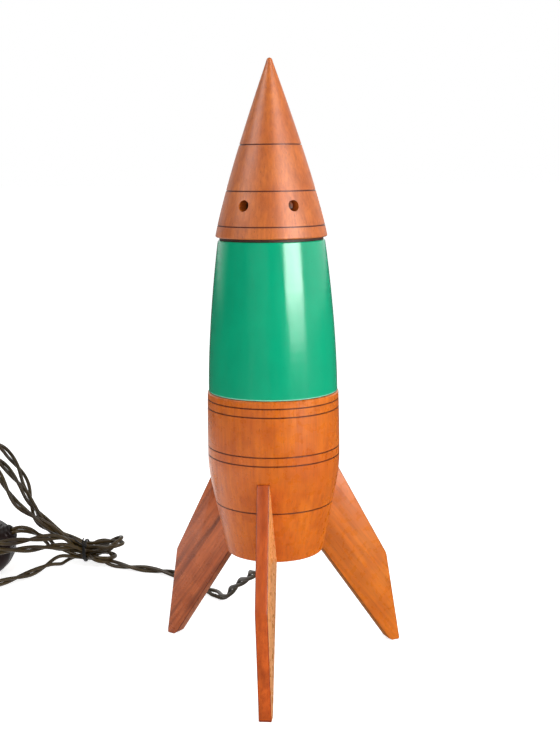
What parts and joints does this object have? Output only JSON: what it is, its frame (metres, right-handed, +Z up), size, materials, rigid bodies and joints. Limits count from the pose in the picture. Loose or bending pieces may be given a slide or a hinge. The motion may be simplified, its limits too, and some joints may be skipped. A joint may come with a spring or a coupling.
{
  "type": "rocket table lamp",
  "caption": "Turned-wood rocket table lamp on three fins, with a green plastic shade, a lift-off vented nose, a small bulb and a twisted flex with a round plug.",
  "frame": {"origin": "middle of the lamp's three-fin footprint on the table, at the feet's level, without the flex", "axes": "+Z up along the lamp's axis, the front fin points along -Y; the lamp's axis stands 20.4 mm behind the origin"},
  "size_m": [0.3589, 0.2893, 0.373],
  "materials": {
    "varnished_wood": "satin",
    "fin_wood": "satin",
    "dark_wood": "satin",
    "green_shade": "gloss",
    "zinc_steel": "satin",
    "brass": "satin",
    "phenolic": "gloss",
    "porcelain": "gloss",
    "flex_brown": "satin",
    "bulb_glass": "satin",
    "bulb_metal": "satin",
    "black_glass": "gloss",
    "clear_glass": "gloss",
    "black_rubber": "matte",
    "tie_black": "satin",
    "plug_black": "gloss",
    "fibre": "matte"
  },
  "bodies": {
    "base": {"base_body": "varnished_wood", "fin_front": "fin_wood", "fin_right": "fin_wood", "fin_left": "fin_wood", "holder_plate": "zinc_steel", "plate_screws": "brass", "threaded_nipple": "brass", "lock_nut": "brass", "holder_cap": "phenolic", "holder_shell": "phenolic", "holder_insert": "porcelain", "thread_sleeve": "brass", "centre_contact": "brass", "terminal_screws": "zinc_steel", "inner_leads": "flex_brown", "flex_bush": "black_rubber", "flex_lead": "flex_brown", "flex_neck": "flex_brown", "flex_coil": "flex_brown", "flex_tail": "flex_brown", "hank_tie": "tie_black", "plug_cover": "plug_black", "plug_base": "plug_black", "plug_pins": "brass", "plug_screw": "zinc_steel", "plug_cord_grip": "fibre"},
    "shade": {"shade": "green_shade"},
    "nose": {"nose_cone": "varnished_wood", "nose_collar": "dark_wood"},
    "bulb_tip": {"bulb_tip": "zinc_steel"},
    "bulb": {"bulb_glass": "bulb_glass", "bulb_cap": "bulb_metal", "bulb_insulator": "black_glass", "bulb_stem": "clear_glass", "bulb_filament": "zinc_steel"}
  },
  "joints": [
    {"name": "shade_lift", "type": "slide", "parent": "base", "child": "shade", "axis": [0, 0, 1], "range_m": [0, 0.09]},
    {"name": "nose_lift", "type": "slide", "parent": "shade", "child": "nose", "axis": [0, 0, 1], "range_m": [0, 0.04]},
    {"name": "bulb_travel", "type": "slide", "parent": "base", "child": "bulb_tip", "axis": [0, 0, 1], "range_m": [0, 0.0099]},
    {"name": "bulb_turn", "type": "hinge", "parent": "bulb_tip", "child": "bulb", "pos_m": [0, 0.02045, 0.18], "axis": [0, 0, 1], "range_deg": [0, 1260]}
  ],
  "couplings": [
    {"joint": "bulb_travel", "follows": "bulb_turn", "m_per_rad": 0.00044882}
  ]
}
